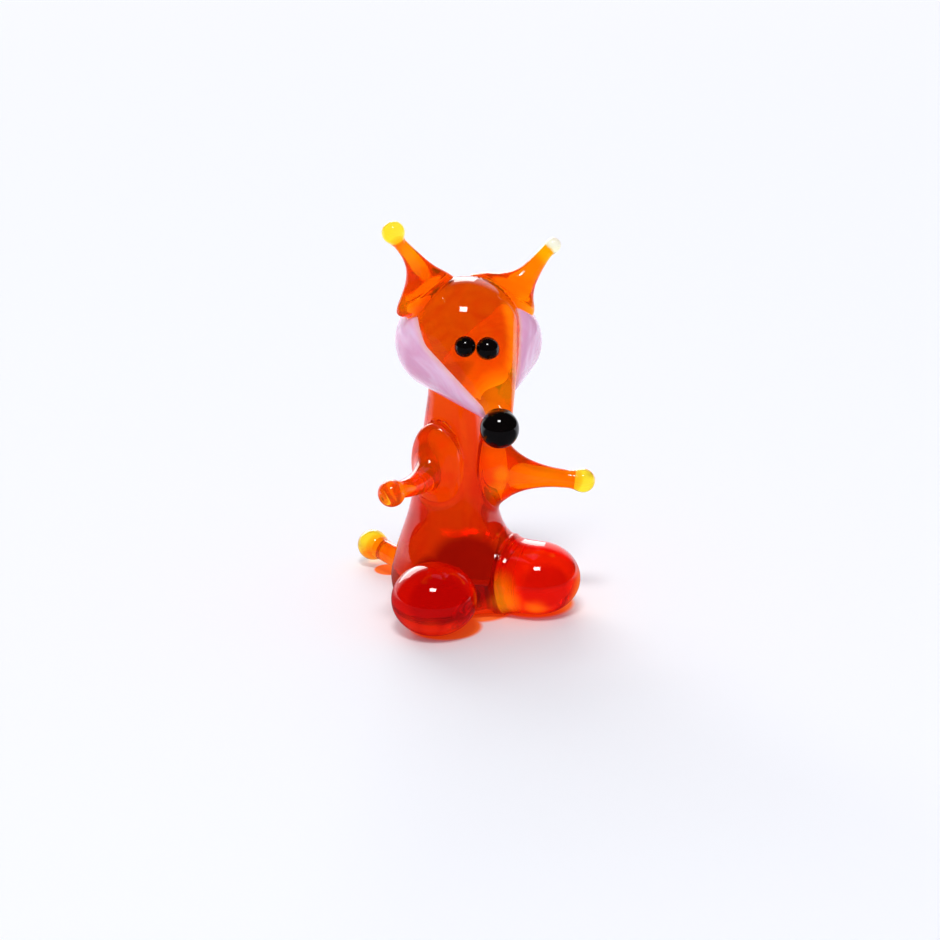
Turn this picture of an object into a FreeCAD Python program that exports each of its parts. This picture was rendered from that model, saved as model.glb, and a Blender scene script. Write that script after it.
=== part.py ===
import FreeCAD, Part
import math
import os

# A small glass fox that sits up, drawn out and joined piece by piece from coloured
# glass rods. Millimetres and degrees. The fox faces -Y, its own left side is +X and
# +Z is up. The origin is the centre of the body's flat base.
# Every "right" and "left" is the fox's own. A turn is counted from straight ahead
# towards the fox's left, a rise from level upwards.

V = FreeCAD.Vector

# Body: one tapering gather, flat underneath, whose neck ends in the head
body_height = 31.0
base_radius = 5.9
belly_radius = 7.45
neck_radius = 2.95

# Head: a ball drawn out forwards and down into a snout
head_radius = 6.55
head_height = 33.4
head_ahead = 0.3
head_aside = 1.35
snout_turn = -5.0
snout_rise = -31.0
snout_length = 12.4
snout_radius = 1.4

# Nose: a black ball on the end of the snout
nose_radius = 2.27
nose_turn = -9.0
nose_rise = -33.0
nose_reach = 14.6

# Eyes: black beads pressed into the front of the head
eye_right_radius = 1.22
eye_right_turn = -27.5
eye_right_rise = 3.3
eye_left_radius = 1.34
eye_left_turn = -7.1
eye_left_rise = 1.3
eye_sink = 0.35

# Cheeks: pink drops laid along the lower sides of the head, as far as the nose.
# Places are along the snout, aside from it and under it
cheek_right_radius = 5.9
cheek_right_along = -0.5
cheek_right_aside = -1.85
cheek_right_under = 1.6
cheek_right_end_back = 1.65
cheek_left_radius = 5.2
cheek_left_along = 0.5
cheek_left_aside = 4.3
cheek_left_under = 1.75
cheek_left_end_back = 3.4
cheek_end_radius = 1.3
cheek_end_aside = 1.1
cheek_end_under = 0.6

# Ears: flat horns with a thick rounded foot, melted onto the top of the head
ear_half_thickness = 1.95
ear_neck_radius = 0.78
ear_right_sunk = 0.9
ear_right_half_width = 3.95
ear_right_foot_turn = -113.0
ear_right_foot_rise = 44.0
ear_right_turn = -91.0
ear_right_rise = 64.0
ear_right_length = 9.15
ear_right_bow = 0.75
ear_right_facing = 0.0
ear_right_tilt = 0.0
ear_left_sunk = 1.4
ear_left_half_width = 4.25
ear_left_foot_turn = 94.3
ear_left_foot_rise = 35.6
ear_left_turn = 84.0
ear_left_rise = 39.5
ear_left_length = 8.2
ear_left_bow = -0.45
ear_left_facing = -22.0
ear_left_tilt = -15.0

# Ear tips: small clear beads
ear_tip_right_radius = 1.36
ear_tip_left_radius = 0.92

# Arms: rods that spread into an oval foot on the body's flank
shoulder_out = 3.2
arm_foot_half_height = 5.1
arm_foot_half_width = 3.25
wrist_radius = 1.05
arm_right_shoulder_height = 18.4
arm_right_turn = -58.4
arm_right_rise = -2.6
arm_right_length = 10.9
arm_right_bow = -0.8
arm_left_shoulder_height = 16.5
arm_left_turn = 58.9
arm_left_rise = -5.5
arm_left_length = 12.2
arm_left_bow = 0.0

# Paws: round beads on the ends of the arms
paw_right_radius = 1.6
paw_left_radius = 1.42

# Feet: large flattened balls side by side in front of the body
foot_half_width = 5.05
foot_half_height = 4.26
foot_sunk = 0.2
foot_reach = 10.6
foot_right_turn = -40.3
foot_left_turn = 42.2

# Tail: a rod that lies out behind the body, with a larger bead at its end
tail_turn = -166.0
tail_root_radius = 1.6
tail_root_out = 4.5
tail_root_height = 1.7
tail_radius = 1.27
tail_reach = 14.9
tail_height = 2.6
tail_tip_radius = 1.86

# Limbs are skinned through their rings with curves of this degree
skin_degree = 3

# A cutting block reaches this far past what it cuts
overrun = 20.0

# (share of body_height, share of the swell from neck_radius to belly_radius)
body_shares = (
    (0.020, 0.86),
    (0.074, 1.0),
    (0.158, 0.965),
    (0.255, 0.776),
    (0.355, 0.565),
    (0.487, 0.376),
    (0.610, 0.235),
    (0.732, 0.105),
    (0.816, 0.030),
    (1.0, 0.0),
)

# (share of the ear's length, share of its spread from ear_neck_radius, share of the bow)
ear_right_shares = (
    (0.0, 0.74, 0.0),
    (0.05, 0.93, 0.0),
    (0.10, 1.0, 0.0),
    (0.16, 0.95, 0.2),
    (0.25, 0.74, 0.5),
    (0.39, 0.42, 0.85),
    (0.545, 0.19, 1.0),
    (0.72, 0.06, 0.8),
    (0.87, 0.01, 0.4),
    (1.0, 0.0, 0.0),
)
ear_left_shares = (
    (0.0, 0.76, 0.0),
    (0.08, 0.95, 0.0),
    (0.16, 1.0, 0.1),
    (0.26, 0.82, 0.4),
    (0.39, 0.46, 0.9),
    (0.55, 0.20, 1.0),
    (0.75, 0.07, 0.6),
    (0.90, 0.02, 0.2),
    (1.0, 0.0, 0.0),
)

# (share of the arm's length, share of its spread from wrist_radius, share of the bow)
arm_right_shares = (
    (0.0, 0.92, 0.0),
    (0.09, 1.0, 0.0),
    (0.16, 0.88, 0.1),
    (0.23, 0.52, 0.3),
    (0.32, 0.25, 0.6),
    (0.48, 0.12, 1.0),
    (0.72, 0.03, 0.8),
    (1.0, 0.0, 0.0),
)
arm_left_shares = (
    (0.0, 0.90, 0.0),
    (0.08, 1.0, 0.0),
    (0.16, 0.93, 0.1),
    (0.26, 0.66, 0.4),
    (0.38, 0.38, 0.8),
    (0.54, 0.17, 1.0),
    (0.75, 0.04, 0.6),
    (1.0, 0.0, 0.0),
)

# (share of the tail's length, share of its swell from tail_radius to tail_root_radius)
tail_shares = (
    (0.0, 1.0),
    (0.25, 0.85),
    (0.5, 0.3),
    (0.75, 0.05),
    (1.0, 0.0),
)


def heading(turn, rise):
    """The unit direction of a turn and a rise."""
    t = math.radians(turn)
    r = math.radians(rise)
    return V(math.sin(t) * math.cos(r), -math.cos(t) * math.cos(r), math.sin(r))


def ball(centre, radius):
    return Part.makeSphere(radius, centre)


def drop(centre, radius, end, end_radius):
    """Two balls and the straight skin that touches both, as one solid of revolution."""
    axis = end.sub(centre)
    length = axis.Length
    lean = math.asin((radius - end_radius) / length)
    up = V(0, 0, 1)
    out = V(1, 0, 0)
    skin = out.multiply(math.cos(lean)).add(up.multiply(math.sin(lean)))
    tip = V(0, 0, length)
    big_foot = skin * radius
    small_foot = tip + skin * end_radius
    big_way = math.radians(-45.0) + lean / 2
    small_way = math.radians(45.0) + lean / 2
    big_mid = V(math.cos(big_way), 0, math.sin(big_way)) * radius
    small_mid = tip + V(math.cos(small_way), 0, math.sin(small_way)) * end_radius
    low = V(0, 0, -radius)
    high = V(0, 0, length + end_radius)
    outline = Part.Wire([
        Part.Arc(low, big_mid, big_foot).toShape(),
        Part.LineSegment(big_foot, small_foot).toShape(),
        Part.Arc(small_foot, small_mid, high).toShape(),
        Part.LineSegment(high, low).toShape(),
    ])
    solid = Part.Face(outline).revolve(V(0, 0, 0), V(0, 0, 1), 360)
    solid.Placement = FreeCAD.Placement(centre, FreeCAD.Rotation(V(0, 0, 1), axis))
    return solid


def oval(centre, wide, thick):
    """An ellipse about a centre, given its two half axes as vectors."""
    normal = wide.cross(thick).normalize()
    place = FreeCAD.Matrix(
        wide.x, thick.x, normal.x, centre.x,
        wide.y, thick.y, normal.y, centre.y,
        wide.z, thick.z, normal.z, centre.z,
        0, 0, 0, 1,
    )
    ring = Part.Circle(V(0, 0, 0), V(0, 0, 1), 1).toShape()
    return Part.Wire(ring.transformGeometry(place))


def horn(foot, way, length, across, half_width, half_thickness, end_radius, bow, tilt, shares):
    """A limb whose oval foot draws in to a round rod along a gently bowed line."""
    thick_way = way.cross(across).normalize()
    wide_way = thick_way.cross(way).normalize()
    rings = []
    for along, spread, lift in shares:
        centre = foot + way * (length * along) + wide_way * (bow * lift)
        lean = math.radians(tilt * (1 - along))
        ring_way = wide_way * math.cos(lean) + way * math.sin(lean)
        wide = end_radius + (half_width - end_radius) * spread
        thick = end_radius + (half_thickness - end_radius) * spread
        rings.append(oval(centre, ring_way * wide, thick_way * thick))
    return Part.makeLoft(rings, True, False, False, skin_degree)


def make_body():
    swell = belly_radius - neck_radius
    points = [V(base_radius, 0, 0)]
    for height, share in body_shares:
        points.append(V(neck_radius + swell * share, 0, body_height * height))
    side = Part.BSplineCurve()
    side.interpolate(points)
    top = points[-1]
    outline = Part.Wire([
        Part.LineSegment(V(0, 0, 0), points[0]).toShape(),
        side.toShape(),
        Part.LineSegment(top, V(0, 0, top.z)).toShape(),
        Part.LineSegment(V(0, 0, top.z), V(0, 0, 0)).toShape(),
    ])
    return Part.Face(outline).revolve(V(0, 0, 0), V(0, 0, 1), 360)


def make_head(centre):
    end = centre + heading(snout_turn, snout_rise) * snout_length
    return drop(centre, head_radius, end, snout_radius)


def skin_point(centre, solid, turn, rise):
    """Where a line from a piece's centre comes out through its skin."""
    way = heading(turn, rise)
    ray = Part.LineSegment(centre, centre + way * overrun).toShape()
    inside = ray.common(solid)
    return centre + way * inside.Length


def make_eye(centre, head, radius, turn, rise):
    seat = skin_point(centre, head, turn, rise)
    return ball(seat - heading(turn, rise) * (radius * eye_sink), radius)


def make_cheek(centre, radius, along, aside, under, end_back, side):
    """A drop beside the head, placed along, aside from and under the snout's line."""
    way = heading(snout_turn, snout_rise)
    left = heading(snout_turn + 90.0, 0)
    down = left.cross(way).normalize()
    if down.z > 0:
        down = down * -1
    start = centre + way * along + left * aside + down * under
    end = centre + way * (snout_length - end_back)
    end = end + left * (cheek_end_aside * side) + down * cheek_end_under
    return drop(start, radius, end, cheek_end_radius)


def make_ear(
        centre, sunk, half_width, foot_turn, foot_rise, turn, rise, length, facing, tilt, bow, shares):
    """An ear whose foot is sunk below the head's ball, and the end that its bead sits on."""
    seat = centre + heading(foot_turn, foot_rise) * head_radius
    way = heading(turn, rise)
    inner_turn = facing - math.copysign(90.0, turn)
    across = heading(inner_turn, 0)
    solid = horn(
        seat - way * sunk, way, sunk + length, across, half_width,
        ear_half_thickness, ear_neck_radius, bow, tilt, shares,
    )
    return solid, seat + way * length


def make_arm(height, turn, rise, length, bow, shares):
    foot = heading(turn, 0) * shoulder_out + V(0, 0, height)
    way = heading(turn, rise)
    solid = horn(
        foot, way, length, V(0, 0, 1), arm_foot_half_height, arm_foot_half_width,
        wrist_radius, bow, 0, shares,
    )
    return solid, foot + way * length


def make_foot(turn):
    centre_height = foot_half_height - foot_sunk
    half = Part.Ellipse(V(0, 0, 0), foot_half_width, foot_half_height)
    arc = Part.ArcOfEllipse(half, math.radians(-90.0), math.radians(90.0)).toShape()
    chord = Part.LineSegment(V(0, foot_half_height, 0), V(0, -foot_half_height, 0)).toShape()
    solid = Part.Face(Part.Wire([arc, chord])).revolve(V(0, 0, 0), V(0, 1, 0), 360)
    solid.rotate(V(0, 0, 0), V(1, 0, 0), 90.0)
    solid.translate(heading(turn, 0) * foot_reach + V(0, 0, centre_height))
    floor = Part.makeBox(overrun, overrun, foot_half_height)
    floor.translate(V(-overrun / 2, -overrun / 2, -foot_half_height) + heading(turn, 0) * foot_reach)
    return solid.cut(floor)


def make_tail():
    way = heading(tail_turn, 0)
    root = way * tail_root_out + V(0, 0, tail_root_height)
    end = way * tail_reach + V(0, 0, tail_height)
    along = end - root
    across = V(-way.y, way.x, 0)
    rise = across.cross(along).normalize()
    if rise.z < 0:
        rise = rise * -1
    rings = []
    for share, swell in tail_shares:
        radius = tail_radius + (tail_root_radius - tail_radius) * swell
        rings.append(oval(root + along * share, across * radius, rise * radius))
    return Part.makeLoft(rings, True, False, False, skin_degree), end


def outer_solid(shape):
    """The piece that is left outside its seat: the largest solid of a cut."""
    return max(shape.Solids, key=lambda piece: piece.Volume)


os.makedirs("parts", exist_ok=True)

head_centre = V(head_aside, -head_ahead, head_height)

head = make_head(head_centre)
nose = ball(head_centre + heading(nose_turn, nose_rise) * nose_reach, nose_radius)
eye_right = make_eye(head_centre, head, eye_right_radius, eye_right_turn, eye_right_rise)
eye_left = make_eye(head_centre, head, eye_left_radius, eye_left_turn, eye_left_rise)
cheek_right = make_cheek(
    head_centre, cheek_right_radius, cheek_right_along, cheek_right_aside,
    cheek_right_under, cheek_right_end_back, -1)
cheek_left = make_cheek(
    head_centre, cheek_left_radius, cheek_left_along, cheek_left_aside,
    cheek_left_under, cheek_left_end_back, 1)
ear_right, ear_right_end = make_ear(
    head_centre, ear_right_sunk, ear_right_half_width, ear_right_foot_turn, ear_right_foot_rise,
    ear_right_turn, ear_right_rise, ear_right_length, ear_right_facing,
    ear_right_tilt, ear_right_bow, ear_right_shares)
ear_left, ear_left_end = make_ear(
    head_centre, ear_left_sunk, ear_left_half_width, ear_left_foot_turn, ear_left_foot_rise,
    ear_left_turn, ear_left_rise, ear_left_length, ear_left_facing,
    ear_left_tilt, ear_left_bow, ear_left_shares)
ear_tip_right = ball(ear_right_end, ear_tip_right_radius)
ear_tip_left = ball(ear_left_end, ear_tip_left_radius)
body = make_body()
arm_right, arm_right_end = make_arm(
    arm_right_shoulder_height, arm_right_turn, arm_right_rise,
    arm_right_length, arm_right_bow, arm_right_shares)
arm_left, arm_left_end = make_arm(
    arm_left_shoulder_height, arm_left_turn, arm_left_rise,
    arm_left_length, arm_left_bow, arm_left_shares)
paw_right = ball(arm_right_end, paw_right_radius)
paw_left = ball(arm_left_end, paw_left_radius)
foot_right = make_foot(foot_right_turn)
foot_left = make_foot(foot_left_turn)
tail, tail_end = make_tail()
tail_tip = ball(tail_end, tail_tip_radius)

# Each piece is cut by the pieces that it was melted onto, so that faces meet
head = outer_solid(head.cut([nose, eye_right, eye_left]))
ear_right = outer_solid(ear_right.cut([head, ear_tip_right]))
ear_left = outer_solid(ear_left.cut([head, ear_tip_left]))
cheek_right = outer_solid(cheek_right.cut([head, nose, ear_right]))
cheek_left = outer_solid(cheek_left.cut([head, nose, ear_left]))
cheek_left = outer_solid(cheek_left.cut(cheek_right))
body = outer_solid(body.cut([head, cheek_right, cheek_left]))
arm_right = outer_solid(arm_right.cut([body, paw_right]))
arm_left = outer_solid(arm_left.cut([body, paw_left]))
foot_right = outer_solid(foot_right.cut(body))
foot_left = outer_solid(foot_left.cut(body))
tail = outer_solid(tail.cut([body, tail_tip]))

pieces = {
    "body": body,
    "head": head,
    "cheek_right": cheek_right,
    "cheek_left": cheek_left,
    "nose": nose,
    "eye_right": eye_right,
    "eye_left": eye_left,
    "ear_right": ear_right,
    "ear_left": ear_left,
    "ear_tip_right": ear_tip_right,
    "ear_tip_left": ear_tip_left,
    "arm_right": arm_right,
    "arm_left": arm_left,
    "paw_right": paw_right,
    "paw_left": paw_left,
    "foot_right": foot_right,
    "foot_left": foot_left,
    "tail": tail,
    "tail_tip": tail_tip,
}
for name, shape in pieces.items():
    print(name, len(shape.Solids), shape.isValid(), round(shape.Volume, 2))
    shape.exportStep("parts/" + name + ".step")
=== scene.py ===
import math
import bpy
import bmesh
from mathutils import Matrix, Vector
from mathutils.bvhtree import BVHTree


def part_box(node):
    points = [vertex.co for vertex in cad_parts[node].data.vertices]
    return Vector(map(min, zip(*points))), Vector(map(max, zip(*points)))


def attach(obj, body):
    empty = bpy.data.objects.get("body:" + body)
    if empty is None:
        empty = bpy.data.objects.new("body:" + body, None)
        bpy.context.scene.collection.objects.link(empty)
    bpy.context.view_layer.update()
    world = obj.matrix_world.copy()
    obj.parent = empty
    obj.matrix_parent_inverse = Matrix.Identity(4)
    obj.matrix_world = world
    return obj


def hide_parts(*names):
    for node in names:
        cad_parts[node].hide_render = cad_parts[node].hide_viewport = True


# A small sitting fox of flameworked glass. Every piece is a whole gather, rod or bead that
# reaches a little into the piece it is melted onto, and its skin is clear where it lies inside
# that piece, so light crosses the joint as it does in fused glass.
# Sizes are in millimetres and degrees and become metres in the mesh. Right and left are the fox's.

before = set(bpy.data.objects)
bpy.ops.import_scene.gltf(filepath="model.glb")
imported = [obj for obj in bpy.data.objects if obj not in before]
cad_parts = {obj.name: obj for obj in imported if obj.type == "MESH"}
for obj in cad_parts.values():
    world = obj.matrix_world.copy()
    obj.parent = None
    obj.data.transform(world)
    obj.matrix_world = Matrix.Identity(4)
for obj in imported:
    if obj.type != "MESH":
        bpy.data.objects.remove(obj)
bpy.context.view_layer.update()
mm = 0.001
print("frame loaded:", len(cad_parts), "nodes")


def heading(turn, rise):  # turn is 0 to the front and grows to the fox's left, rise is above level
    t = math.radians(turn)
    r = math.radians(rise)
    return Vector((math.sin(t) * math.cos(r), -math.cos(t) * math.cos(r), math.sin(r)))


# Shader maths

class Number:  # a socket that can be added, multiplied and compared in an expression
    def __init__(self, tree, socket):
        self.tree = tree
        self.socket = socket

    def join(self, operation, first, second):
        node = self.tree.nodes.new("ShaderNodeMath")
        node.operation = operation
        for slot, value in zip(node.inputs, (first, second)):
            if isinstance(value, Number):
                self.tree.links.new(value.socket, slot)
            else:
                slot.default_value = value
        return Number(self.tree, node.outputs[0])

    def __add__(self, other):
        return self.join("ADD", self, other)

    def __radd__(self, other):
        return self.join("ADD", other, self)

    def __sub__(self, other):
        return self.join("SUBTRACT", self, other)

    def __rsub__(self, other):
        return self.join("SUBTRACT", other, self)

    def __mul__(self, other):
        return self.join("MULTIPLY", self, other)

    def __rmul__(self, other):
        return self.join("MULTIPLY", other, self)

    def __lt__(self, other):
        return self.join("LESS_THAN", self, other)

    def most(self, other):
        return self.join("MAXIMUM", self, other)

    def output(self, name):  # another output of the same node
        return Number(self.tree, self.socket.node.outputs[name])


class Recipe:  # the node tree of a material or of the world
    def __init__(self, tree):
        self.tree = tree
        self.tree.nodes.clear()

    def add(self, kind, settings=None, sockets=None, out=0):
        node = self.tree.nodes.new("ShaderNode" + kind)
        for name, value in (settings or {}).items():
            setattr(node, name, value)
        for name, value in (sockets or {}).items():
            if isinstance(value, Number):
                self.tree.links.new(value.socket, node.inputs[name])
            elif isinstance(value, tuple) and len(value) == 3 and node.inputs[name].type == "RGBA":
                node.inputs[name].default_value = (*value, 1.0)
            else:
                node.inputs[name].default_value = value
        return Number(self.tree, node.outputs[out]) if node.outputs else None

    def blend(self, share, first, second):  # first colour where share is 0, second where it is 1
        settings = {"data_type": "RGBA", "clamp_factor": True}
        return self.add("Mix", settings, {0: share, 6: first, 7: second}, out=2)

    def smooth(self, value, low, high):  # 0 below low, 1 above high
        sockets = {"Value": value, "From Min": low, "From Max": high}
        return self.add("MapRange", {"interpolation_type": "SMOOTHSTEP"}, sockets)


def newMaterial(name):
    material = bpy.data.materials.new(name)
    material.use_nodes = True
    return material, Recipe(material.node_tree)


# Glass. tint is the colour of the glass itself and deep its colour in streaks. absorb is what a
# millimetre takes out of red, green and blue light, and milk the share that scatters light. glow
# and the glow colour give a painted glow: the glass gives off light of its own, standing in for the
# light that shines through a lit gather. At its spots, each a place and a radius in mm, light is
# painted: colour and glow turn lighter and warmer, as where light shows through thin glass, and on
# the yellow tail tip they paint in the orange of the rod seen through the bead. At its shade spots,
# shade is painted in a darker colour. grain stretches the streaks.

glassKinds = {
    "headOrange": dict(
        tint=(0.91, 0.32, 0.001), deep=(0.84, 0.18, 0.001), absorb=(0.022, 0.14, 0.6), milk=0.08,
        glow=0.32, paintedGlowColour=(0.22, 0.019, 0.0), paintedLightColour=(1.0, 0.40, 0.002),
        spots=((5.0, -5.2, 36.8, 2.0), (5.0, -6.0, 35.7, 2.0), (4.8, -6.7, 34.6, 2.0),
               (4.5, -7.4, 33.5, 2.0), (4.0, -8.2, 32.4, 2.1), (3.4, -9.1, 31.2, 2.3),
               (0.9, -10.0, 28.6, 4.0), (-0.1, -10.6, 27.0, 3.4))),
    "limbOrange": dict(
        tint=(1.0, 0.40, 0.001), deep=(0.99, 0.24, 0.001), absorb=(0.010, 0.28, 0.8), milk=0.08,
        glow=0.10, paintedGlowColour=(0.98, 0.11, 0.0), paintedLightColour=(1.0, 0.66, 0.002),
        spots=((-6.4, 0.6, 37.6, 1.8), (-5.2, -1.0, 38.3, 1.6), (-3.6, -2.5, 39.4, 1.4),
               (8.0, -1.5, 36.3, 1.8), (9.0, -2.2, 35.5, 2.0), (3.6, -5.3, 16.8, 1.5),
               (3.1, -5.8, 15.0, 2.0), (-4.4, 3.0, 43.8, 2.2), (12.2, -0.4, 41.4, 2.0))),
    "bodyOrange": dict(
        tint=(0.94, 0.22, 0.002), deep=(0.84, 0.09, 0.001), absorb=(0.020, 0.18, 0.6), milk=0.08,
        glow=0.10, paintedGlowColour=(0.80, 0.040, 0.0), paintedLightColour=(1.0, 0.42, 0.004), grain=(1.0, 1.0, 0.16),
        spots=((2.3, -8.0, 3.4, 2.4), (1.3, -9.2, 2.3, 2.0)), paintedShadeColour=(0.30, 0.012, 0.001),
        paintedShadeSpots=((-0.9, -6.6, 7.4, 5.6), (-4.4, -4.9, 5.2, 4.6), (2.6, -6.4, 6.2, 3.3))),
    # The two feet are one red glass: the right foot has painted shade, the left foot painted light
    "footPaintedShade": dict(
        tint=(0.80, 0.030, 0.001), deep=(0.66, 0.008, 0.001), absorb=(0.030, 0.22, 0.8), milk=0.06,
        glow=0.24, paintedGlowColour=(0.37, 0.0025, 0.0), paintedLightColour=(0.9, 0.045, 0.002),
        spots=((-9.8, -8.0, 1.2, 2.2), (-9.4, -12.0, 1.9, 2.6), (-7.2, -12.6, 1.6, 2.4),
               (-11.2, -10.0, 2.0, 2.2)),
        paintedShadeColour=(0.52, 0.003, 0.001), paintedShadeSpots=((-7.4, -11.8, 6.4, 4.4),)),
    "footPaintedLight": dict(
        tint=(0.95, 0.08, 0.001), deep=(0.86, 0.02, 0.001), absorb=(0.014, 0.20, 0.8), milk=0.06,
        glow=0.42, paintedGlowColour=(0.33, 0.0034, 0.0), paintedLightColour=(1.0, 0.34, 0.002),
        spots=((2.3, -8.0, 3.4, 3.3), (1.5, -9.2, 2.3, 3.1), (10.6, -10.2, 3.2, 3.3),
               (4.2, -12.5, 1.2, 2.7)),
        paintedShadeColour=(0.55, 0.008, 0.001), paintedShadeSpots=((6.6, -12.0, 5.6, 3.6),)),
    "yellow": dict(
        tint=(1.0, 0.88, 0.10), deep=(1.0, 0.78, 0.03), absorb=(0.0, 0.03, 0.3), milk=0.03,
        glow=0.06, paintedGlowColour=(1.0, 0.80, 0.02), paintedLightColour=(0.95, 0.12, 0.001),
        spots=((-3.6, 14.2, 0.7, 2.6), (-4.9, 13.2, 1.7, 2.2))),
    "amber": dict(
        tint=(0.97, 0.56, 0.01), deep=(0.90, 0.34, 0.004), absorb=(0.008, 0.06, 0.4), milk=0.08,
        glow=0.09, paintedGlowColour=(0.90, 0.26, 0.01), paintedLightColour=(1.0, 0.60, 0.02), spots=((-9.9, -5.9, 17.2, 0.8),)),
    "pale": dict(
        tint=(0.99, 0.99, 0.84), deep=(0.98, 0.95, 0.70), absorb=(0.001, 0.002, 0.02), milk=0.03,
        glow=0.03, paintedGlowColour=(0.95, 0.93, 0.70), paintedLightColour=(1.0, 0.80, 0.30), spots=((12.6, 0.2, 42.0, 0.8),)),
}
black = (0.0, 0.0, 0.0)
glassIndex = 1.5  # how strongly every glass here bends light
shadeGlow = 0.57  # how much of the painted shade's darker colour still shows as painted glow


def nearSpots(mix, place, spots, core=0.2):  # 1 within core of any spot's radius, 0 past it
    share = 0.0
    for x, y, z, radius in spots:
        sockets = {0: place, 1: (x * mm, y * mm, z * mm)}
        gap = mix.add("VectorMath", {"operation": "DISTANCE"}, sockets, out="Value")
        near = mix.smooth(gap, radius * mm, radius * core * mm)
        share = near.most(share)
    return share


def clearGlass(kind):
    look = glassKinds[kind]
    material, mix = newMaterial(kind + "Glass")
    place = mix.add("TexCoord", out="Object")
    grain = mix.add("Mapping", {}, {"Vector": place, "Scale": look.get("grain", (1.0, 1.0, 1.0))})
    swirl = mix.add("TexNoise", {}, {"Vector": grain, "Scale": 220.0, "Detail": 3.0, "Distortion": 1.5})
    streak = mix.smooth(swirl, 0.40, 0.72)
    # painted light: near the spots, colour and glow turn lighter and warmer
    paintedLight = nearSpots(mix, place, look["spots"])
    colour = mix.blend(streak, look["tint"], look["deep"])
    colour = mix.blend(paintedLight, colour, look["paintedLightColour"])
    paintedGlowColour = mix.blend(paintedLight, look["paintedGlowColour"], look["paintedLightColour"])
    if "paintedShadeSpots" in look:  # painted shade: darker patches with a wavy edge
        drift = mix.add("TexNoise", {}, {"Vector": place, "Scale": 160.0, "Detail": 1.0}, out="Color")
        drift = mix.add("VectorMath", {"operation": "MULTIPLY_ADD"}, {0: drift, 1: (2 * mm,) * 3, 2: place})
        shade = nearSpots(mix, drift, look["paintedShadeSpots"], core=0.7) * (1 - paintedLight)
        colour = mix.blend(shade, colour, look["paintedShadeColour"])
        paintedGlowColour = mix.blend(shade, paintedGlowColour, tuple(shadeGlow * c for c in look["paintedShadeColour"]))
    wave = mix.add("TexNoise", {}, {"Vector": place, "Scale": 150.0, "Detail": 1.0})
    bump = mix.add("Bump", {}, {"Strength": 0.05, "Distance": 0.5 * mm, "Height": wave})
    buried = mix.add("Attribute", {"attribute_name": "buried"}, out="Fac")
    skin = buried < 0.0  # no skin inside the glass that this piece is melted into
    # the emission is painted glow, brighter at the painted light spots and dimmer at the painted shade
    shader = mix.add("BsdfPrincipled", {}, {
        "Base Color": colour, "Roughness": 0.0, "IOR": glassIndex,
        "Transmission Weight": 1.0 - look["milk"], "Alpha": skin, "Normal": bump,
        "Emission Color": paintedGlowColour, "Emission Strength": look["glow"],
    })
    densest = max(look["absorb"])
    tint = tuple(1.0 - a / densest for a in look["absorb"])
    depth = mix.add("VolumeAbsorption", {}, {"Color": tint, "Density": densest / mm})
    mix.add("OutputMaterial", {}, {"Surface": shader, "Volume": depth})
    return material


pinkLook = dict(
    light=(0.92, 0.64, 0.83), dusky=(0.82, 0.42, 0.63), stretch=7.0,  # streaks run along the snout
    rim=(0.95, 0.50, 0.44), rimWidth=0.30,  # takes on some orange where it meets the head, in mm
    # painted light given off by the cheek: a share of its colour outside, pale pink on its inner side
    paintedOuterGlow=0.1, paintedInnerLight=(0.50, 0.35, 0.41))


def pinkGlass(name, lengthWay):
    material, mix = newMaterial(name)
    place = mix.add("TexCoord", out="Object")
    lean = lengthWay.to_track_quat("Z", "Y").to_euler()
    along = mix.add("Mapping", {"vector_type": "TEXTURE"}, {
        "Vector": place, "Rotation": lean, "Scale": (1.0, 1.0, pinkLook["stretch"])})
    swirl = mix.add("TexNoise", {}, {"Vector": along, "Scale": 420.0, "Detail": 4.0, "Distortion": 0.8})
    streak = mix.smooth(swirl, 0.38, 0.72)
    colour = mix.blend(streak, pinkLook["dusky"], pinkLook["light"])
    buried = mix.add("Attribute", {"attribute_name": "buried"}, out="Fac")
    edge = mix.smooth(buried, -pinkLook["rimWidth"] * mm, 0.1 * mm)
    colour = mix.blend(edge, colour, pinkLook["rim"])
    skin = buried < 0.0
    inside = mix.add("NewGeometry", out="Backfacing")
    # painted glow: the outer side gives off a share of its own colour
    paintedCheekLight = mix.blend(1.0 - pinkLook["paintedOuterGlow"], colour, black)
    paintedCheekLight = mix.blend(inside, paintedCheekLight, pinkLook["paintedInnerLight"])  # painted light: the inner side gives off pale pink light as if lit through
    shader = mix.add("BsdfPrincipled", {}, {
        "Base Color": colour, "Roughness": 0.01, "IOR": glassIndex, "Coat Weight": 0.6,
        "Subsurface Weight": 0.6, "Subsurface Radius": (1.0, 0.5, 0.7), "Subsurface Scale": 1.2 * mm,
        "Alpha": skin, "Emission Color": paintedCheekLight, "Emission Strength": 1.0,
    })
    mix.add("OutputMaterial", {}, {"Surface": shader})
    return material


blackLook = dict(black=(0.0008, 0.0008, 0.001), brown=(0.004, 0.002, 0.002))


def blackGlass():
    material, mix = newMaterial("blackGlass")
    place = mix.add("TexCoord", out="Object")
    swirl = mix.add("TexNoise", {}, {"Vector": place, "Scale": 500.0, "Detail": 2.0})
    colour = mix.blend(swirl, blackLook["black"], blackLook["brown"])
    shader = mix.add("BsdfPrincipled", {}, {"Base Color": colour, "Roughness": 0.015, "IOR": glassIndex})
    mix.add("OutputMaterial", {}, {"Surface": shader})
    return material


snoutWay = heading(-5.0, -31.0)  # the way the snout points
glass = {kind: clearGlass(kind) for kind in glassKinds}
glass["pink"] = pinkGlass("pinkOpalGlass", snoutWay)
glass["black"] = blackGlass()
print("glass mixed:", len(glass), "kinds")


# Shapes

weldGap = 0.0005  # mm, closer points than this become one


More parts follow.
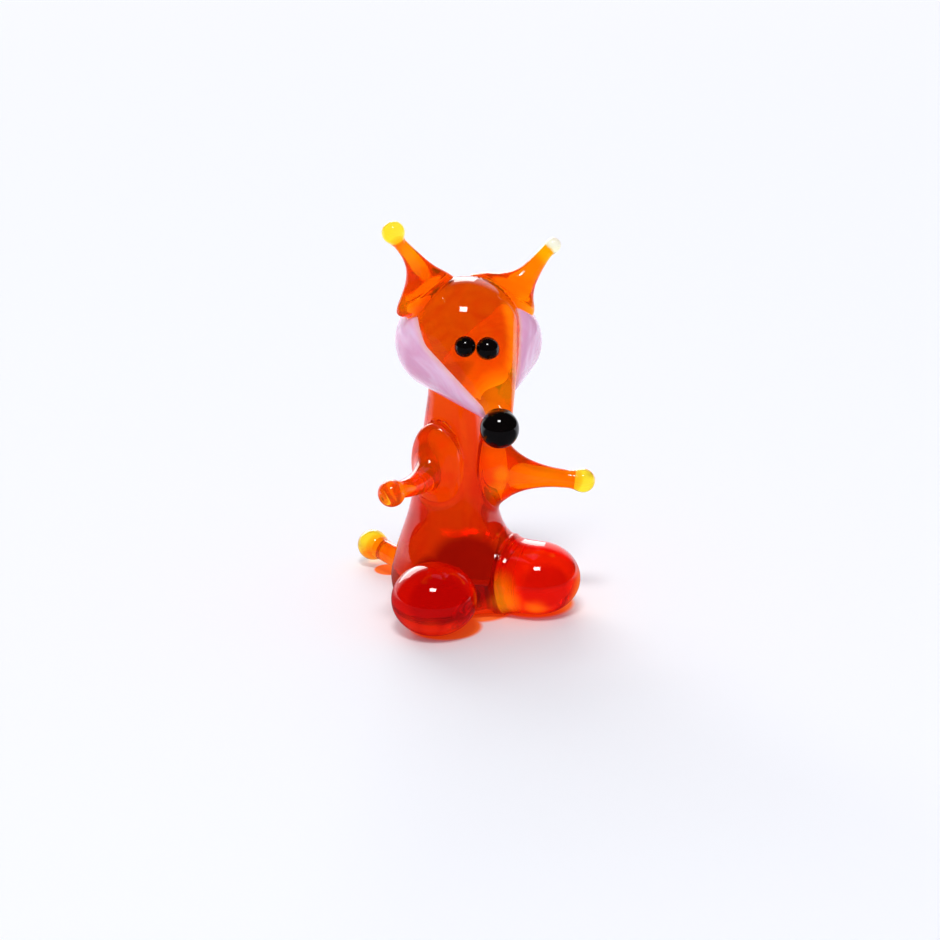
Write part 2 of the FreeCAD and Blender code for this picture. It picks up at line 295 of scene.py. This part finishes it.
def addPiece(name, bm, kind):
    bmesh.ops.recalc_face_normals(bm, faces=bm.faces)
    for face in bm.faces:
        face.smooth = True
    mesh = bpy.data.meshes.new(name)
    bm.to_mesh(mesh)
    bm.free()
    piece = bpy.data.objects.new(name, mesh)
    bpy.context.scene.collection.objects.link(piece)
    mesh.materials.append(glass[kind])
    return piece


def between(table, at, column):  # a smooth curve through one column of a table, by its first column
    last = len(table) - 1
    i = max(k for k in range(last) if table[k][0] <= at or k == 0)
    x0, x1 = table[i][0], table[i + 1][0]
    t = (at - x0) / (x1 - x0)

    def slope(k):
        a, b = max(k - 1, 0), min(k + 1, last)
        return (table[b][column] - table[a][column]) / (table[b][0] - table[a][0])

    y0, y1 = table[i][column], table[i + 1][column]
    m0, m1 = slope(i) * (x1 - x0), slope(i + 1) * (x1 - x0)
    t2, t3 = t * t, t * t * t
    return (2 * t3 - 3 * t2 + 1) * y0 + (t3 - 2 * t2 + t) * m0 + (3 * t2 - 2 * t3) * y1 + (t3 - t2) * m1


def ball(centre, radius, detail=5):
    bm = bmesh.new()
    bmesh.ops.create_icosphere(bm, subdivisions=detail, radius=radius * mm)
    bmesh.ops.translate(bm, verts=bm.verts, vec=Vector(centre) * mm)
    return bm


def turned(profile, steps=96):  # spins (radius, height) points about the vertical axis
    bm = bmesh.new()
    spots = [bm.verts.new((r * mm, 0, z * mm)) for r, z in profile]
    edges = [bm.edges.new(pair) for pair in zip(spots, spots[1:])]
    bmesh.ops.spin(bm, geom=spots + edges, cent=(0, 0, 0), axis=(0, 0, 1), dvec=(0, 0, 0),
                   angle=math.tau, steps=steps, use_merge=True)
    bmesh.ops.remove_doubles(bm, verts=bm.verts, dist=weldGap * mm)
    return bm


def drop(centre, radius, end, endRadius, arcSteps=40, sideSteps=36):  # a ball drawn out to a smaller one
    axis = Vector(end) - Vector(centre)
    length = axis.length
    lean = math.asin((radius - endRadius) / length)
    profile = []
    for step in range(arcSteps + 1):
        a = -math.pi / 2 + (lean + math.pi / 2) * step / arcSteps
        profile.append((radius * math.cos(a), radius * math.sin(a)))
    shoulder = profile[-1]
    tip = []
    for step in range(arcSteps // 2 + 1):
        a = lean + (math.pi / 2 - lean) * step / (arcSteps // 2)
        tip.append((endRadius * math.cos(a), length + endRadius * math.sin(a)))
    for step in range(1, sideSteps):
        share = step / sideSteps
        profile.append(tuple(s + (t - s) * share for s, t in zip(shoulder, tip[0])))
    bm = turned(profile + tip)
    turn = axis.to_track_quat("Z", "Y").to_matrix().to_4x4()
    bmesh.ops.transform(bm, matrix=Matrix.Translation(Vector(centre) * mm) @ turn, verts=bm.verts)
    return bm


tipRings = (0.95, 0.82, 0.62, 0.38, 0.15)  # shares of the rod's radius, over its domed end


def horn(limb, foot, way, across, ringCount=44, segments=56):
    # an oval foot that draws in to a round rod, ring by ring, with a rounded sole
    thickWay = way.cross(across).normalized()
    wideWay = thickWay.cross(way).normalized()
    bm = bmesh.new()
    rings = []
    places = [(0.0, s, -limb["soleDepth"]) for s in limb["sole"]]
    places += [(k / ringCount, 1.0, 0.0) for k in range(ringCount + 1)]
    places += [(1.0, s, limb["end"]) for s in tipRings]
    for number, (along, fill, dome) in enumerate(places):
        spread = between(limb["shares"], along, 1)
        lift = between(limb["shares"], along, 2)
        beyond = dome * math.sqrt(1 - fill * fill)
        centre = foot + way * (limb["length"] * along + beyond) + wideWay * (limb["bow"] * lift)
        lean = math.radians(limb["tilt"] * (1 - along))
        ringWay = wideWay * math.cos(lean) + way * math.sin(lean)
        wide = fill * (limb["end"] + (limb["halfWidth"] - limb["end"]) * spread)
        thick = fill * (limb["end"] + (limb["halfThickness"] - limb["end"]) * spread)
        place = Matrix((ringWay * wide, thickWay * thick, ringWay.cross(thickWay))).transposed().to_4x4()
        place.translation = centre
        capped = number in (0, len(places) - 1)
        made = bmesh.ops.create_circle(bm, cap_ends=capped, segments=segments, radius=1.0, matrix=place)
        spots = made["verts"]
        rings.append([bm.edges.get((spots[k], spots[(k + 1) % segments])) for k in range(segments)])
    for first, second in zip(rings, rings[1:]):
        bmesh.ops.bridge_loops(bm, edges=first + second)
    bmesh.ops.scale(bm, vec=(mm, mm, mm), verts=bm.verts)
    bmesh.ops.remove_doubles(bm, verts=bm.verts, dist=weldGap * mm)
    return bm


pieces = {}

# Body

bodySizes = dict(neckEnd=29.0, neckDome=0.4, rings=110, steps=128, soleRings=14, neckRings=8,
                 heights=(0.02, 0.35, 0.9, 1.8, 3.4, 6.4, 11.5, 18.0, 26.0))  # where the girth is measured
bodySkin = BVHTree.FromObject(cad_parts["body"], bpy.context.evaluated_depsgraph_get())


def girth(height):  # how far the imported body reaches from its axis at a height
    reach = []
    for turn in range(7, 367, 30):
        hit = bodySkin.ray_cast(Vector((0, 0, height * mm)), heading(turn, 0))
        if hit[0] is not None:
            reach.append(hit[3] / mm)
    return sum(reach) / len(reach)


def makeBody():
    table = [(height, girth(height)) for height in bodySizes["heights"]]
    sole, baseGirth = table[0]
    top, neck = table[-1]
    soleRings, rings, neckRings = bodySizes["soleRings"], bodySizes["rings"], bodySizes["neckRings"]
    profile = [(baseGirth * step / soleRings, 0.0) for step in range(soleRings)]
    for step in range(rings + 1):
        height = sole + (top - sole) * step / rings
        profile.append((between(table, height, 1), height if step else 0.0))
    for step in range(1, neckRings + 1):
        profile.append((neck, top + (bodySizes["neckEnd"] - top) * step / neckRings))
    for step in range(1, neckRings + 1):
        a = math.pi / 2 * step / neckRings
        rise = neck * bodySizes["neckDome"] * math.sin(a)
        profile.append((neck * math.cos(a), bodySizes["neckEnd"] + rise))
    return turned(profile, steps=bodySizes["steps"])


pieces["body"] = addPiece("body_glass", makeBody(), "bodyOrange")

# Head, nose and eyes

headSizes = dict(aside=1.35, ahead=0.3, height=33.4, radius=6.55, snoutLength=12.4, snoutRadius=1.4)
headCentre = Vector((headSizes["aside"], -headSizes["ahead"], headSizes["height"]))
snoutEnd = headCentre + snoutWay * headSizes["snoutLength"]
pieces["head"] = addPiece(
    "head_glass", drop(headCentre, headSizes["radius"], snoutEnd, headSizes["snoutRadius"]),
    "headOrange")


def beadFrom(node):  # centre and radius, in millimetres, of a bead that the frame holds whole
    low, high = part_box(node)
    return (low + high) / 2 / mm, (high - low).x / 2 / mm


beads = {
    "nose": ("black", "black_glass"),
    "eye_right": ("black", "black_glass"),
    "eye_left": ("black", "black_glass"),
    "ear_tip_right": ("yellow", "yellow_glass"),
    "ear_tip_left": ("pale", "pale_glass"),
    "paw_right": ("amber", "amber_glass"),
    "paw_left": ("yellow", "yellow_glass"),
    "tail_tip": ("yellow", "yellow_glass"),
}
for node, (kind, slot) in beads.items():
    pieces[node] = addPiece(node + "_bead", ball(*beadFrom(node)), kind)

# Cheeks

cheekSizes = {
    "cheek_right": dict(radius=5.75, along=-0.5, aside=-1.85, under=1.6, endBack=1.65, side=-1),
    "cheek_left": dict(radius=5.05, along=0.5, aside=4.3, under=1.75, endBack=3.4, side=1),
}
cheekEnd = dict(radius=1.3, aside=1.1, under=0.6)
cheekLip = dict(height=0.26, ramp=0.14)  # the cheeks stand a little proud of the head all round


def makeCheek(cheek):
    left = Vector((-snoutWay.y, snoutWay.x, 0)).normalized()
    down = left.cross(snoutWay)
    start = headCentre + snoutWay * cheek["along"] + left * cheek["aside"] + down * cheek["under"]
    end = headCentre + snoutWay * (headSizes["snoutLength"] - cheek["endBack"])
    end = end + left * (cheekEnd["aside"] * cheek["side"]) + down * cheekEnd["under"]
    return drop(start, cheek["radius"], end, cheekEnd["radius"])


for node, cheek in cheekSizes.items():
    pieces[node] = addPiece(node + "_glass", makeCheek(cheek), "pink")

# Ears. A row of shares gives a place along the ear, the spread from the rod's radius, and the bow

solePuff = (0.05, 0.3, 0.55, 0.75, 0.9)  # shares of the foot's size, over its rounded sole
earSizes = {
    "ear_right": dict(
        sunk=0.9, halfWidth=3.95, halfThickness=1.95, end=0.78, footTurn=-113.0, footRise=44.0,
        turn=-91.0, rise=64.0, reach=9.15, short=1.2, bow=0.75, facing=0.0, tilt=0.0,
        sole=solePuff, soleDepth=0.5,
        shares=((0.0, 0.74, 0.0), (0.05, 0.93, 0.0), (0.10, 1.0, 0.0), (0.16, 0.95, 0.2),
                (0.25, 0.74, 0.5), (0.39, 0.42, 0.85), (0.545, 0.19, 1.0), (0.72, 0.06, 0.8),
                (0.87, 0.01, 0.4), (1.0, 0.0, 0.0))),
    "ear_left": dict(
        sunk=1.4, halfWidth=4.25, halfThickness=1.95, end=0.78, footTurn=94.3, footRise=35.6,
        turn=84.0, rise=39.5, reach=8.2, short=1.1, bow=-0.45, facing=-22.0, tilt=-15.0,
        sole=solePuff, soleDepth=0.5,
        shares=((0.0, 0.76, 0.0), (0.08, 0.95, 0.0), (0.16, 1.0, 0.1), (0.26, 0.82, 0.4),
                (0.39, 0.46, 0.9), (0.55, 0.20, 1.0), (0.75, 0.07, 0.6), (0.90, 0.02, 0.2),
                (1.0, 0.0, 0.0))),
}


def makeEar(ear):
    seat = headCentre + heading(ear["footTurn"], ear["footRise"]) * headSizes["radius"]
    way = heading(ear["turn"], ear["rise"])
    across = heading(ear["facing"] - math.copysign(90, ear["turn"]), 0)
    limb = dict(ear, length=ear["sunk"] + ear["reach"] - ear["short"])
    return horn(limb, seat - way * ear["sunk"], way, across)


for node, ear in earSizes.items():
    pieces[node] = addPiece(node + "_glass", makeEar(ear), "limbOrange")

# Arms. Rows of shares as for the ears

armSizes = {
    "arm_right": dict(
        shoulder=18.4, out=3.2, turn=-58.4, rise=-2.6, length=9.9, bow=-0.8, tilt=0.0,
        halfWidth=5.1, halfThickness=3.25, end=1.05, sole=solePuff, soleDepth=0.4,
        shares=((0.0, 0.92, 0.0), (0.09, 1.0, 0.0), (0.16, 0.88, 0.1), (0.23, 0.52, 0.3),
                (0.32, 0.25, 0.6), (0.48, 0.12, 1.0), (0.72, 0.03, 0.8), (1.0, 0.0, 0.0))),
    "arm_left": dict(
        shoulder=16.5, out=3.2, turn=58.9, rise=-5.5, length=11.2, bow=0.0, tilt=0.0,
        halfWidth=5.1, halfThickness=3.25, end=1.05, sole=solePuff, soleDepth=0.4,
        shares=((0.0, 0.90, 0.0), (0.08, 1.0, 0.0), (0.16, 0.93, 0.1), (0.26, 0.66, 0.4),
                (0.38, 0.38, 0.8), (0.54, 0.17, 1.0), (0.75, 0.04, 0.6), (1.0, 0.0, 0.0))),
}


def makeArm(arm):
    foot = heading(arm["turn"], 0) * arm["out"] + Vector((0, 0, arm["shoulder"]))
    return horn(arm, foot, heading(arm["turn"], arm["rise"]), Vector((0, 0, 1)))


for node, arm in armSizes.items():
    pieces[node] = addPiece(node + "_glass", makeArm(arm), "limbOrange")

# Feet

footSizes = dict(halfWidth=5.05, halfHeight=4.26, sunk=0.2, reach=10.6)
feet = {
    "foot_right": dict(turn=-40.3, kind="footPaintedShade"),
    "foot_left": dict(turn=42.2, kind="footPaintedLight"),
}


def makeFoot(turn):  # a flattened ball, cut off level with the floor
    bm = ball((0, 0, 0), 1.0, detail=6)
    wide, high = footSizes["halfWidth"], footSizes["halfHeight"]
    bmesh.ops.scale(bm, vec=(wide, wide, high), verts=bm.verts)
    centre = heading(turn, 0) * footSizes["reach"] + Vector((0, 0, high - footSizes["sunk"]))
    bmesh.ops.translate(bm, verts=bm.verts, vec=centre * mm)
    geom = bm.verts[:] + bm.edges[:] + bm.faces[:]
    cut = bmesh.ops.bisect_plane(bm, geom=geom, plane_co=(0, 0, 0), plane_no=(0, 0, -1), clear_outer=True)
    rim = [e for e in cut["geom_cut"] if isinstance(e, bmesh.types.BMEdge)]
    bmesh.ops.holes_fill(bm, edges=rim, sides=0)
    return bm


for node, foot in feet.items():
    pieces[node] = addPiece(node + "_glass", makeFoot(foot["turn"]), foot["kind"])

# Tail. Rows of shares as for the ears

tailSizes = dict(
    turn=-166.0, rootOut=4.5, rootHeight=1.7, reach=14.9, short=0.9, endHeight=2.6, bow=0.0, tilt=0.0,
    halfWidth=1.6, halfThickness=1.6, end=1.27, sole=(0.1, 0.5, 0.8), soleDepth=0.3,
    shares=((0.0, 1.0, 0.0), (0.25, 0.85, 0.0), (0.5, 0.3, 0.0), (0.75, 0.05, 0.0), (1.0, 0.0, 0.0)))


def makeTail():
    way = heading(tailSizes["turn"], 0)
    root = way * tailSizes["rootOut"] + Vector((0, 0, tailSizes["rootHeight"]))
    end = way * (tailSizes["reach"] - tailSizes["short"]) + Vector((0, 0, tailSizes["endHeight"]))
    along = end - root
    return horn(dict(tailSizes, length=along.length), root, along.normalized(), Vector((0, 0, 1)))


pieces["tail"] = addPiece("tail_glass", makeTail(), "limbOrange")
print("pieces shaped:", len(pieces))

# Joints. Each pair is melted together with a fillet of the given width in millimetres

joints = (
    ("body", "head", 1.0), ("body", "cheek_right", 0.5), ("body", "cheek_left", 0.5),
    ("body", "arm_right", 0.8), ("body", "arm_left", 0.8),
    ("body", "foot_right", 0.6), ("body", "foot_left", 4.5), ("body", "tail", 0.8),
    ("head", "cheek_right", 0.2), ("head", "cheek_left", 0.2), ("cheek_right", "cheek_left", 0.5),
    ("head", "ear_right", 0.7), ("head", "ear_left", 0.7),
    ("cheek_right", "ear_right", 0.5), ("cheek_left", "ear_left", 0.5),
    ("head", "nose", 0.5), ("cheek_right", "nose", 0.4), ("cheek_left", "nose", 0.4),
    ("head", "eye_right", 0.25), ("head", "eye_left", 0.25),
    ("ear_right", "ear_tip_right", 0.5), ("ear_left", "ear_tip_left", 0.5),
    ("arm_right", "paw_right", 0.6), ("arm_left", "paw_left", 0.6),
    ("tail", "tail_tip", 0.6),
)
sharpJoint = 0.35  # keeps a fillet small where two skins meet nearly edge to edge


def skinOf(node):
    bm = bmesh.new()
    bm.from_mesh(pieces[node].data)
    tree = BVHTree.FromBMesh(bm)
    bm.free()
    return tree


def meltTogether():
    skins = {node: skinOf(node) for node in pieces}
    partners = {node: [] for node in pieces}
    for first, second, width in joints:
        partners[first].append((second, width * mm))
        partners[second].append((first, width * mm))
    for node, piece in pieces.items():
        mesh = piece.data
        buried = [-1.0] * len(mesh.vertices)  # how deep each point lies in a neighbour
        shift = [Vector() for v in mesh.vertices]
        for other, width in partners[node]:
            for vert in mesh.vertices:
                spot, normal, face, far = skins[other].find_nearest(vert.co)
                depth = math.copysign(far, (spot - vert.co).dot(normal))
                buried[vert.index] = max(buried[vert.index], depth)
                if far < width:
                    both = vert.normal + normal
                    size = max(both.length_squared, sharpJoint)
                    shift[vert.index] += both / size * (width / 2 * (1 - far / width) ** 2)
        if node in cheekSizes:
            for vert in mesh.vertices:
                proud = -buried[vert.index] / mm
                if proud > 0:
                    rise = cheekLip["height"] * (1 - math.exp(-proud / cheekLip["ramp"]))
                    shift[vert.index] += vert.normal * (rise * mm)
        layer = mesh.attributes.new("buried", "FLOAT", "POINT")
        layer.data.foreach_set("value", buried)
        for vert in mesh.vertices:
            vert.co += shift[vert.index]
            vert.co.z = max(vert.co.z, 0.0)
        mesh.update()


meltTogether()
print("pieces melted together")

for node, piece in pieces.items():
    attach(piece, "root")
    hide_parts(node)

# Floor, world and lamps. These sizes are in metres and degrees

photoCamera = dict(turn=-28.0, rise=20.0, distance=0.45, halfFrame=0.0564, sensor=36.0,
                   target=(0.004162, 0.003737, 0.014434), clipNear=0.01, clipFar=100.0)
skyLook = dict(dome=(0.40, 0.41, 0.46), camera=(0.965, 0.973, 1.0), white=(1.0, 1.0, 1.0),
               dim=(0.02, 0.02, 0.02), overhead=(0.75, 0.75, 0.75), wallTurn=160.0)
floorLook = dict(colour=(0.91, 0.915, 0.93), halfSide=20.0, below=0.00002, fadeFrom=0.12, fadeTo=0.50,
                 mirroredPaintedShade=(0.10, 0.10, 0.11), mirroredBack=(0.95, 0.95, 1.0))

# Painted shadow and light: close to the glass the floor takes a warm colour and gives off warm
# light, as if light fell through the glass. Places and radii are in mm
glassShadow = dict(colour=(0.90, 0.24, 0.05), light=(0.20, 0.022, 0.001),
                   spots=((-5.0, -7.4, 0.0, 4.6), (7.8, -5.8, 0.0, 5.1), (0.9, -3.5, 0.0, 5.4),
                          (-2.6, 12.0, 0.0, 2.0)))


def makeFloor():
    bm = bmesh.new()
    bmesh.ops.create_grid(bm, x_segments=1, y_segments=1, size=floorLook["halfSide"])
    mesh = bpy.data.meshes.new("floor")
    bm.to_mesh(mesh)
    bm.free()
    floor = bpy.data.objects.new("floor", mesh)
    bpy.context.scene.collection.objects.link(floor)
    material, mix = newMaterial("paleFloor")
    isCamera = mix.add("LightPath", out="Is Camera Ray")
    isGlossy = isCamera.output("Is Glossy Ray")
    isThrough = isCamera.output("Is Transmission Ray")
    place = mix.add("TexCoord", out="Object")
    # in reflections the floor is painted dark on the camera's side of the fox, a painted shade, and pale
    # beyond
    behind = heading(photoCamera["turn"] + 180, 0)
    reach = mix.add("VectorMath", {"operation": "DOT_PRODUCT"}, {0: place, 1: tuple(behind)}, out="Value")
    back = mix.smooth(reach, 0.0, 0.04)
    mirrored = mix.blend(back, floorLook["mirroredPaintedShade"], floorLook["mirroredBack"])
    # painted shadow and painted light where the glass stands
    underGlass = nearSpots(mix, place, glassShadow["spots"], core=0.84)
    colour = mix.blend(underGlass, floorLook["colour"], glassShadow["colour"])
    colour = mix.blend(isGlossy * (1 - isThrough), colour, mirrored)
    paintedLight = mix.blend(underGlass, black, glassShadow["light"])
    # far off, the floor runs into the backdrop, to the eye and through the glass
    away = mix.add("VectorMath", {"operation": "LENGTH"}, {0: place}, out="Value")
    faded = mix.smooth(away, floorLook["fadeFrom"], floorLook["fadeTo"]) * isCamera.most(isThrough)
    colour = mix.blend(faded, colour, black)
    paintedLight = mix.blend(faded, paintedLight, skyLook["camera"])
    shader = mix.add("BsdfPrincipled", {}, {
        "Base Color": colour, "Roughness": 1.0, "Specular IOR Level": 0.0,
        "Emission Color": paintedLight, "Emission Strength": 1.0,
    })
    mix.add("OutputMaterial", {}, {"Surface": shader})
    mesh.materials.append(material)
    floor.location = (0, 0, -floorLook["below"])


makeFloor()


def makeWorld():
    world = bpy.data.worlds.new("studio")
    bpy.context.scene.world = world
    world.use_nodes = True
    mix = Recipe(world.node_tree)
    way = mix.add("TexCoord", out="Generated")
    x = mix.add("SeparateXYZ", {}, {0: way})
    y, z = x.output("Y"), x.output("Z")
    wall = heading(skyLook["wallTurn"], 0)
    toWall = x * wall.x + y * wall.y
    backWall = mix.smooth(toWall, 0.62, 0.86) * mix.smooth(z, 0.72, 0.52)
    glossy = mix.blend(backWall, skyLook["dim"], skyLook["white"])
    through = mix.blend(mix.smooth(z, 0.6, 1.0), skyLook["white"], skyLook["overhead"])
    isCamera = mix.add("LightPath", out="Is Camera Ray")
    colour = mix.blend(isCamera.output("Is Glossy Ray"), skyLook["dome"], glossy)
    colour = mix.blend(isCamera.output("Is Transmission Ray"), colour, through)
    colour = mix.blend(isCamera, colour, skyLook["camera"])
    light = mix.add("Background", {}, {"Color": colour, "Strength": 1.0})
    mix.add("OutputWorld", {}, {"Surface": light})


makeWorld()

keyLamp = dict(turn=-34.0, rise=66.0, distance=2.0, width=0.50, height=0.37, watts=15.0)
backPanel = dict(turn=168.0, rise=19.0, distance=3.0, width=2.4, height=1.5, watts=50.0)
backSun = dict(turn=165.0, rise=42.0, strength=0.7, spread=60.0)


def makePanel(name, look):
    data = bpy.data.lights.new(name, "AREA")
    data.shape = "RECTANGLE"
    data.size = look["width"]
    data.size_y = look["height"]
    data.energy = look["watts"]
    lamp = bpy.data.objects.new(name, data)
    bpy.context.scene.collection.objects.link(lamp)
    way = heading(look["turn"], look["rise"])
    lamp.location = way * look["distance"]
    lamp.rotation_euler = way.to_track_quat("Z", "Y").to_euler()
    return lamp


def makeLamps():
    makePanel("keyLamp", keyLamp)
    panel = makePanel("backPanel", backPanel)
    panel.visible_camera = False
    panel.visible_transmission = False
    data = bpy.data.lights.new("backSun", "SUN")
    data.energy = backSun["strength"]
    data.angle = math.radians(backSun["spread"])
    lamp = bpy.data.objects.new("backSun", data)
    bpy.context.scene.collection.objects.link(lamp)
    lamp.rotation_euler = heading(backSun["turn"], backSun["rise"]).to_track_quat("Z", "Y").to_euler()
    lamp.visible_glossy = False
    lamp.visible_transmission = False


makeLamps()


def makeCamera():
    data = bpy.data.cameras.new("photoCamera")
    data.sensor_width = photoCamera["sensor"]
    data.lens = photoCamera["sensor"] / 2 * photoCamera["distance"] / photoCamera["halfFrame"]
    data.clip_start = photoCamera["clipNear"]
    data.clip_end = photoCamera["clipFar"]
    camera = bpy.data.objects.new("photoCamera", data)
    bpy.context.scene.collection.objects.link(camera)
    target = Vector(photoCamera["target"])
    back = heading(photoCamera["turn"], photoCamera["rise"])
    camera.location = target + back * photoCamera["distance"]
    camera.rotation_euler = back.to_track_quat("Z", "Y").to_euler()
    bpy.context.scene.camera = camera


makeCamera()
bpy.context.scene.view_settings.view_transform = "Standard"
print("floor, world, lamps and camera set")
